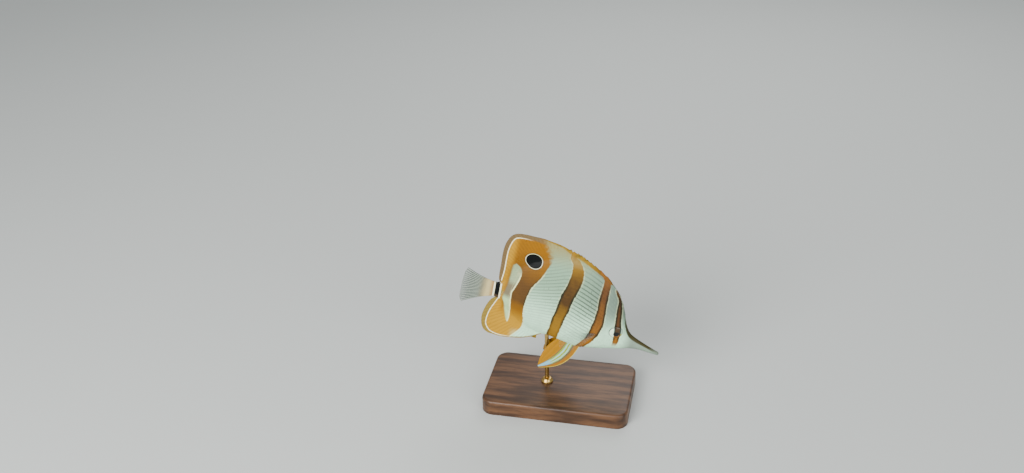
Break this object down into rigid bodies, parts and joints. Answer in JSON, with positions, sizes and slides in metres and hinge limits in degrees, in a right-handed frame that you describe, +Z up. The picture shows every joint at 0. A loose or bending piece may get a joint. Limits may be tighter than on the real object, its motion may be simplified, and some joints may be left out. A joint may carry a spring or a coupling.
{
  "type": "copperband butterflyfish display model",
  "caption": "Life-size still model of a long-snouted banded reef fish, held on one rod above a plain flat base.",
  "frame": {"origin": "centre of the object's footprint box, on the underside of the base", "axes": "+X towards the snout, +Y towards the fish's left flank, +Z up"},
  "size_m": [0.1501, 0.068, 0.1405],
  "materials": {
    "skin": "pearly scaled skin, silvery white with orange-brown bars",
    "jaw": "smooth pale grey lips",
    "eye": "polished, dark pupil in a silvery iris",
    "fin": "satin orange-gold fin web with fine rays",
    "clear_fin": "thin pale fin web with fine rays",
    "stand_wood": "dark oiled hardwood",
    "stand_metal": "satin brass"
  },
  "bodies": {
    "root": {"head": "skin", "gill_cover_right": "skin", "gill_cover_left": "skin", "snout": "skin", "upper_jaw": "jaw", "lower_jaw": "jaw", "eye_right": "eye", "eye_left": "eye", "torso": "skin", "tail_stalk": "skin", "dorsal_fin_spines": "fin", "dorsal_fin_soft": "fin", "anal_fin": "fin", "pelvic_fin_right": "fin", "pelvic_fin_left": "fin", "caudal_fin": "clear_fin", "pectoral_fin_right": "clear_fin", "pectoral_fin_left": "clear_fin", "stand_base": "stand_wood", "stand_rod": "stand_metal", "stand_collar": "stand_metal"}
  },
  "joints": []
}
